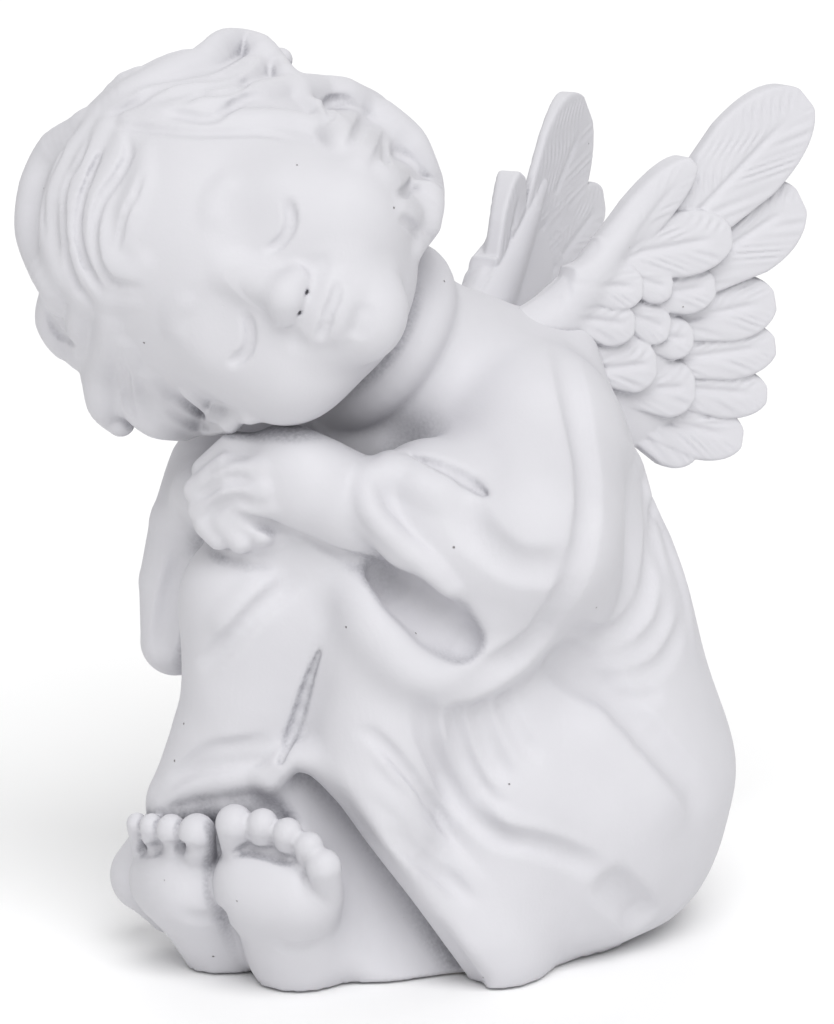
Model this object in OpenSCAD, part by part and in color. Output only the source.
// Seated resting angel figurine: cast resin body, head and wings, pinned and bonded together,
// with a plugged core cavity and a felt pad underneath.
// The figure looks along -Y and stands on z = 0. The origin is the middle of its felt pad.

/* [Figure] */
// Height from the table to the top curl of the hair
figure_h = 120; // [96:1:144]
// Width across the hips
seat_w = 63; // [54:1:75]
// Width across the shoulders, over the robe
shoulder_w = 51; // [44:1:58]
// Diameter of the head without its hair
head_d = 45; // [39:1:54]
// How far the head leans over onto its right cheek
head_tilt = 70; // [60:1:78]

/* [Wings] */
// Length of a wing, from its root to its tip
wing_l = 42; // [35:1:50]
// Thickness of a wing's web between the feathers
wing_t = 2.6; // [2.2:0.1:3.2]
// How far a feather stands out of the web
feather_rise = 0.9; // [0.6:0.1:1.2]
// Angle of a wing away from straight back
wing_sweep = 16; // [13:1:19]
// Diameter of the tenon at a wing's root
tenon_d = 7; // [6:0.1:8.4]
// Length of the tenon
tenon_l = 5; // [4:0.1:6]

/* [Pins and joints] */
// Diameter of the steel pin in each wing
wing_pin_d = 2; // [1.6:0.1:2.4]
// Length of the steel pin in each wing
wing_pin_l = 14; // [12:0.5:18]
// Diameter of the steel pin in the neck
neck_pin_d = 4; // [3.2:0.1:5]
// Length of the steel pin in the neck
neck_pin_l = 22; // [18:0.5:26]
// Diameter of the neck's tenon
neck_d = 17; // [14.5:0.1:19]
// Depth of the neck's socket in the collar
neck_seat = 4; // [3.2:0.1:5]
// Gap left all round a pin or tenon for the adhesive
glue_gap = 0.1; // [0.05:0.01:0.2]
// Gap left between the sculpted faces of two castings
cast_gap = 0.5; // [0.4:0.05:0.7]

/* [Underside] */
// Diameter of the plug that closes the core cavity
plug_d = 26; // [21.5:0.5:31]
// Thickness of the plug
plug_t = 3; // [2.4:0.1:3.6]
// Width of the ledge that the plug rests on
plug_ledge = 2; // [1.6:0.1:2.4]
// Depth of the core cavity above the plug
cavity_h = 34; // [28:0.5:40]
// Diameter of the felt pad
felt_d = 34; // [33:0.5:38]
// Thickness of the felt pad
felt_t = 1; // [0.8:0.1:1.4]
// Depth of the recess that the felt pad lies in
felt_recess = 0.6; // [0.4:0.05:0.7]

/* [Hidden] */
resin = [0.93, 0.93, 0.95];
steel = [0.6, 0.6, 0.62];
plastic = [0.85, 0.85, 0.85];
felt = [0.8, 0.78, 0.74];
$fn = 64;

// Every place on the figure is given for this height and then scaled.
drawn_h = 120;
s = figure_h / drawn_h;
wide = seat_w / 63 / s;              // sideways stretch of the hips and legs
broad = shoulder_w / 51 / s;         // sideways stretch of the shoulders
base_z = felt_t - felt_recess;       // underside of the casting
cell = 2.5 * s;                      // mesh size of the sculpted castings
body_blend = 2 * s;                  // how softly the body's forms run together
head_blend = 1.2 * s;                // how softly the hair's locks run together

// ---- frames ----------------------------------------------------------------------------------

function unit(v) = v / norm(v);
function spin_z(v, a) = [v.x * cos(a) - v.y * sin(a), v.x * sin(a) + v.y * cos(a), v.z];
function spin_y(v, a) = [v.x * cos(a) + v.z * sin(a), v.y, v.z * cos(a) - v.x * sin(a)];

head_turn = 25;                      // bearing of the lean
head_twist = 8;                      // turn of the face in the head's own frame
head_c = s * [-11, -21.5, 91];
// A point of the upright head, in its place on the figure.
function on_head(v) = head_c + spin_z(spin_y(spin_z(v, head_twist), -head_tilt), head_turn);

nape = s * [0, 4, 72];               // the neck's line runs from here to the head's middle
neck_axis = unit(head_c - nape);
neck_c = head_c - neck_axis * (head_d / 2 + neck_seat);
// Children made along +Z, set on the neck's socket floor and turned to the neck's line.
module on_neck() {
    translate(neck_c)
        rotate([0, acos(neck_axis.z), atan2(neck_axis.y, neck_axis.x)])
            children();
}

wing_root = s * [6.5, 22, 72];       // where the left wing leaves the back
// Children made in the left wing's own frame: X outward, Y up, Z out of the feathered face.
module on_back() {
    translate(wing_root)
        rotate([90, 0, 90 - wing_sweep])
            children();
}
module both_sides() {
    children();
    mirror([1, 0, 0])
        children();
}

// ---- sculpted forms: a limb is a rounded bar between two points, an egg is an ellipsoid --------

function limb(a, b, ra, rb) = [0, a, b - a, (b - a) * (b - a), ra, rb - ra];
function egg(c, r) = [1, c, [1 / r.x, 1 / r.y, 1 / r.z], min(r)];
function share(t) = min(1, max(0, t));
function reach(p, f) = f[0] == 1
    ? (norm([(p.x - f[1].x) * f[2].x, (p.y - f[1].y) * f[2].y, (p.z - f[1].z) * f[2].z]) - 1) * f[3]
    : let (t = share((p - f[1]) * f[2] / f[3])) norm(p - f[1] - t * f[2]) - f[4] - t * f[5];
// Distance to all the forms, run together softly over the blend.
function merged(p, forms, ones, blend) =
    -blend * ln([for (f = forms) exp(-reach(p, f) / blend)] * ones);

// The robe's trunk, shoulders, collar and skirt.
trunk = [
    egg(s * [0, 12, 21], s * [32 * wide, 30, 22]),
    egg(s * [0, 11, 6], s * [27 * wide, 26, 8]),
    egg(s * [0, -9, 6], s * [24 * wide, 17, 10]),
    egg(s * [0, 13, 40], s * [28 * wide, 26, 26]),
    egg(s * [1, 11, 62], s * [21 * broad, 17, 21]),
    limb(s * [-13 * broad, 5, 67], s * [13 * broad, 5, 67], 11 * s, 11 * s),
    limb(nape, neck_c, 12 * s, 11 * s),
    limb(s * [18 * wide, -8, 20], s * [21 * wide, -9, 2], 9 * s, 5 * s),
    limb(s * [-16 * wide, -11, 22], s * [-22 * wide, -13, 2], 9 * s, 6 * s)
];
// Thigh, shin, foot and row of toes of one leg.
function leg(hip, knee, ankle, heel, first_toe, last_toe) = [
    limb(hip, knee, 14 * s, 8.5 * s),
    limb(knee, ankle, 8.5 * s, 7 * s),
    limb(heel, (first_toe + last_toe) / 2, 5.5 * s, 5 * s),
    for (i = [0:4]) egg(first_toe + (last_toe - first_toe) * i / 4, s * [2.3, 2.6, 3])
];
legs = concat(
    leg(s * [15 * wide, 6, 17], s * [9, -18, 42], s * [8, -25, 12], s * [6, -26, 4],
        s * [2, -36, 20], s * [15, -34, 17]),
    leg(s * [-15 * wide, 6, 17], s * [-7, -25, 47], s * [-7, -27, 12], s * [-6, -28, 4],
        s * [-5, -36, 19], s * [-17, -33, 17])
);
// Upper arm, hanging sleeve, forearm and hand of one arm.
function arm(shoulder, elbow, sleeve_end, wrist, fingers) = [
    limb(shoulder, elbow, 9.5 * s, 9.5 * s),
    limb(elbow, sleeve_end, 9 * s, 5 * s),
    limb(elbow, wrist, 8 * s, 4.5 * s),
    limb(wrist, fingers, 4.6 * s, 3.4 * s)
];
arms = concat(
    arm(s * [15 * broad, 2, 65], s * [24 * broad, -9, 54], s * [21, -20, 42],
        s * [9, -29, 61], s * [-5, -34, 63]),
    arm(s * [-14 * broad, 3, 65], s * [-21 * broad, -12, 56], s * [-22, -23, 42],
        s * [-13, -27, 58], s * [-1, -34, 57])
);
body_forms = concat(trunk, legs, arms);

skull_r = head_d / 2;
h = skull_r / 22.5;                  // scale of the head's own forms
// Skull, jaw, cheeks, chin and nose of the upright head, which looks along -Y.
face = [
    [[0, 1, 1], [22.5, 22.5, 22]],
    [[0, -6, -9], [17, 15, 14.5]],
    [[8, -13, -12.5], [7.5, 7.5, 7.5]],
    [[-8, -13, -12.5], [7.5, 7.5, 7.5]],
    [[0, -17.5, -19.5], [4.5, 4, 3.8]],
    [[0, -22, -12.5], [2.6, 3, 2.6]]
];
// Rows of curls round the skull: height over its middle, how many, first and last bearing, size.
curl_rows = [
    [16, 5, -60, 240, 6.6],
    [5, 7, -25, 205, 7],
    [-7, 6, -5, 185, 6.8],
    [-16, 4, 25, 155, 6.2]
];
curl_ring = 19;                      // distance of a curl from the skull's middle
curls = [
    for (row = curl_rows) for (i = [0:row[1] - 1])
        let (bearing = row[2] + (row[3] - row[2]) * i / (row[1] - 1),
             ring = sqrt(pow(curl_ring, 2) - pow(row[0], 2)))
        [[ring * cos(bearing), ring * sin(bearing) + 1, row[0] + 1], row[4] * [1, 1, 1]],
    // the fringe over the brow, the side lock and the top curl
    for (x = [-9, 1, 11]) [[x, -15.5 + abs(x) / 4, 15.5], [6, 6, 6]],
    [[21, -6, 8], [6.4, 6.4, 6.4]],
    [[0, -3, 19.5], [5.2, 5.2, 5.2]]
];
head_forms = [for (e = concat(face, curls)) egg(on_head(e[0] * h), e[1] * h)];

body_ones = [for (f = body_forms) 1];
head_ones = [for (f = head_forms) 1];
function head_field(p) = merged(p, head_forms, head_ones, head_blend);
// The body makes room for the head, which is only measured near to it.
function body_field(p) = max(
    merged(p, body_forms, body_ones, body_blend),
    base_z - p.z,
    norm(p - head_c) > head_d ? -head_d : cast_gap - head_field(p)
);

// ---- closed mesh over a field, one vertex in each cell that the surface crosses ---------------

CORNERS = [for (k = [0, 1], j = [0, 1], i = [0, 1]) [i, j, k]];
EDGES = [for (a = [0:7], b = [a + 1:1:7]) if (norm(CORNERS[a] - CORNERS[b]) == 1) [a, b]];
// Mean of the places where the field changes sign along the cell's edges.
function crossing(v) =
    let (hits = [for (e = EDGES) if ((v[e[0]] < 0) != (v[e[1]] < 0))
            CORNERS[e[0]] + (CORNERS[e[1]] - CORNERS[e[0]]) * v[e[0]] / (v[e[0]] - v[e[1]])])
    [for (q = hits) 1] * hits / len(hits);
// The lowest row of cells is centred on the underside, and its vertices lie exactly on it.
function seated(p) = abs(p.z - base_z) < cell / 2 ? [p.x, p.y, base_z] : p;
// Two triangles of a square, turned outward where its first corner is inside.
function square_faces(q, inside) = inside
    ? [[q[2], q[1], q[0]], [q[3], q[2], q[0]]]
    : [[q[0], q[1], q[2]], [q[0], q[2], q[3]]];

// Whether a sample meets another inside one only across the diagonal of a square.
function diagonal(v, i, j, k) = len([
    for (a = [-1, 1], b = [-1, 1])
        if ((v[k][j + b][i + a] < 0 && v[k][j][i + a] >= 0 && v[k][j + b][i] >= 0)
            || (v[k + b][j][i + a] < 0 && v[k][j][i + a] >= 0 && v[k + b][j][i] >= 0)
            || (v[k + b][j + a][i] < 0 && v[k][j + a][i] >= 0 && v[k + b][j][i] >= 0))
            1]) > 0;
// Such samples are set just outside, because the mesh would touch itself along an edge there.
function parted(v) = [for (k = [0:len(v) - 1]) [for (j = [0:len(v[k]) - 1])
    [for (i = [0:len(v[k][j]) - 1])
        v[k][j][i] < 0 && v[k][j][i] > -cell && diagonal(v, i, j, k) ? cell / 50 : v[k][j][i]]]];

function sculpted(lo, n, field) =
    let (
        raw = [for (k = [0:n.z]) [for (j = [0:n.y]) [for (i = [0:n.x]) field(lo + cell * [i, j, k])]]],
        v = parted(parted(raw)),
        cells = [for (k = [0:n.z - 1]) for (j = [0:n.y - 1]) for (i = [0:n.x - 1]) [i, j, k]],
        corners = function (c) [for (q = CORNERS) v[c.z + q.z][c.y + q.y][c.x + q.x]],
        crossed = [for (c = cells) let (w = corners(c)) min(w) < 0 && max(w) >= 0 ? 1 : 0],
        number = [for (c = 0, t = 0; c < len(cells); t = t + crossed[c], c = c + 1) t],
        at = function (i, j, k) number[(k * n.y + j) * n.x + i],
        points = [for (c = [0:len(cells) - 1]) if (crossed[c] == 1)
            seated(lo + cell * (cells[c] + crossing(corners(cells[c]))))],
        faces = [for (k = [1:n.z - 1]) for (j = [1:n.y - 1]) for (i = [1:n.x - 1])
            let (here = v[k][j][i] < 0)
            each concat(
                here == (v[k][j][i + 1] < 0) ? [] : square_faces(
                    [at(i, j - 1, k - 1), at(i, j, k - 1), at(i, j, k), at(i, j - 1, k)], here),
                here == (v[k][j + 1][i] < 0) ? [] : square_faces(
                    [at(i - 1, j, k - 1), at(i - 1, j, k), at(i, j, k), at(i, j, k - 1)], here),
                here == (v[k + 1][j][i] < 0) ? [] : square_faces(
                    [at(i - 1, j - 1, k), at(i, j - 1, k), at(i, j, k), at(i - 1, j, k)], here)
            )]
    )
    [points, faces];

// Lowest and highest reach of the forms along one axis.
function low(forms, a) = min([for (f = forms) f[0] == 1
    ? f[1][a] - 1 / f[2][a]
    : min(f[1][a], f[1][a] + f[2][a]) - max(f[4], f[4] + f[5])]);
function high(forms, a) = max([for (f = forms) f[0] == 1
    ? f[1][a] + 1 / f[2][a]
    : max(f[1][a], f[1][a] + f[2][a]) + max(f[4], f[4] + f[5])]);

// One closed solid round the forms, from floor_z up.
module sculpt(forms, floor_z, field) {
    lo = [low(forms, 0) - 2 * cell, low(forms, 1) - 2 * cell, floor_z];
    n = [for (a = [0:2]) ceil((high(forms, a) - lo[a]) / cell) + 2];
    mesh = sculpted(lo, n, field);
    polyhedron(points = mesh[0], faces = mesh[1], convexity = 8);
}

// ---- joints that two pieces share --------------------------------------------------------------

// The neck's pin or its bore, half in the body and half in the head.
module neck_pin_shape(gap) {
    on_neck()
        translate([0, 0, -neck_pin_l / 2 - gap])
            cylinder(d = neck_pin_d + 2 * gap, h = neck_pin_l + 2 * gap);
}
// The left wing's pin or its bore, half in the body and half in the wing, behind the tenon's end.
module wing_pin_shape(gap) {
    on_back()
        translate([-tenon_l - wing_pin_l / 2 - gap, 0, 0])
            rotate([0, 90, 0])
                cylinder(d = wing_pin_d + 2 * gap, h = wing_pin_l + 2 * gap);
}
// The left wing's tenon, or its bore, with the cone that runs from it into the web.
module wing_tenon_shape(gap) {
    rotate([0, -90, 0])
        cylinder(d = tenon_d + 2 * gap, h = tenon_l);
    rotate([0, 90, 0])
        cylinder(r1 = tenon_d / 2 + gap, r2 = wing_t / 2 + gap, h = wing_flare);
}
// The left wing's web: its root lies in a pocket of the back.
module wing_web_shape(gap) {
    translate([0, 0, -wing_t / 2 - gap])
        linear_extrude(wing_t + 2 * gap)
            offset(delta = gap)
                polygon(web_outline());
}

// ---- feathers ------------------------------------------------------------------------------------

wl = wing_l / 42;
fan_c = wl * [4.5, 4.5];                 // where the feathers' lines meet
wing_flare = 12 * wl;                // length of the root's cone
fan_first = 44;                      // bearing of the tip feather over level
fan_last = -70;                      // bearing of the lowest feather
function fan_angle(t) = fan_first + (fan_last - fan_first) * t;
function fan_length(t) = wing_l * (0.5 + 0.5 * pow(1 - t, 2));
function fan_point(t, r) = fan_c + r * [cos(fan_angle(t)), sin(fan_angle(t))];
function web_outline() = concat(
    wl * [[-5, 6], [-2, 11], [6, 17], [17, 25]],
    [for (t = [0:0.1:1]) fan_point(t, 0.85 * fan_length(t))],
    wl * [[8, -13], [1, -10]]
);
// Leaf outline of length 1 and half width 1, blunt at its root and rounded at its tip.
leaf_steps = 10;
function leaf_width(u) = sqrt(1 - pow(abs(2 * u - 0.9) / 1.1, 2.4));
function leaf(l, w) = concat(
    [for (i = [0:leaf_steps]) [l * i / leaf_steps, w * leaf_width(i / leaf_steps)]],
    [for (i = [leaf_steps - 1:-1:0]) [l * i / leaf_steps, -w * leaf_width(i / leaf_steps)]]
);
shingle = 5;                         // tilt of each feather over its neighbour
// One row of feathers: how many, share of full length, half width, underside and top.
module feather_row(count, length_share, half_w, bottom, top) {
    for (i = [0:count - 1]) {
        t = (i + (length_share < 1 ? 0.3 : 0)) / count;
        l = fan_length(t) * length_share;
        translate([fan_point(t, l * 0.25).x, fan_point(t, l * 0.25).y, 0])
            rotate([0, 0, fan_angle(t)])
                rotate([shingle, 0, 0])
                    translate([0, 0, bottom])
                        linear_extrude(top - bottom)
                            polygon(leaf(l * 0.75, half_w));
    }
}

// ---- sub-parts -----------------------------------------------------------------------------------

module body_casting() {
    color(resin)
        difference() {
            sculpt(body_forms, base_z - 1.5 * cell, function (p) body_field(p));
            translate([0, 0, base_z - felt_t])
                cylinder(d = felt_d + 2 * glue_gap, h = felt_t + felt_recess);
            translate([0, 0, base_z])
                cylinder(d = plug_d + 2 * glue_gap, h = felt_recess + plug_t);
            translate([0, 0, base_z])
                cylinder(d = plug_d - 2 * plug_ledge, h = felt_recess + plug_t + cavity_h);
            on_neck()
                cylinder(d = neck_d + 2 * glue_gap, h = head_d / 2);
            neck_pin_shape(glue_gap);
            both_sides() {
                wing_pin_shape(glue_gap);
                on_back() {
                    wing_tenon_shape(glue_gap);
                    wing_web_shape(cast_gap);
                }
            }
        }
}

module head_casting() {
    color(resin)
        difference() {
            union() {
                sculpt(head_forms, low(head_forms, 2) - 2 * cell, function (p) head_field(p));
                on_neck()
                    cylinder(d = neck_d, h = head_d / 2);
            }
            neck_pin_shape(glue_gap);
        }
}

module wing() {
    difference() {
        on_back() {
            wing_tenon_shape(0);
            wing_web_shape(0);
            feather_row(7, 1, 5 * wl, -wing_t * 0.4, wing_t * 0.45);
            feather_row(5, 0.68, 4.6 * wl, 0, wing_t / 2 + feather_rise);
            feather_row(4, 0.42, 3.7 * wl, 0, wing_t / 2 + 2 * feather_rise);
        }
        wing_pin_shape(glue_gap);
    }
}
module left_wing() {
    color(resin)
        wing();
}
module right_wing() {
    color(resin)
        mirror([1, 0, 0])
            wing();
}

module neck_pin() {
    color(steel)
        neck_pin_shape(0);
}
module left_wing_pin() {
    color(steel)
        wing_pin_shape(0);
}
module right_wing_pin() {
    color(steel)
        mirror([1, 0, 0])
            wing_pin_shape(0);
}

module base_plug() {
    color(plastic)
        translate([0, 0, felt_t])
            cylinder(d = plug_d, h = plug_t);
}
module felt_pad() {
    color(felt)
        cylinder(d = felt_d, h = felt_t);
}

body_casting();
head_casting();
left_wing();
right_wing();
neck_pin();
left_wing_pin();
right_wing_pin();
base_plug();
felt_pad();
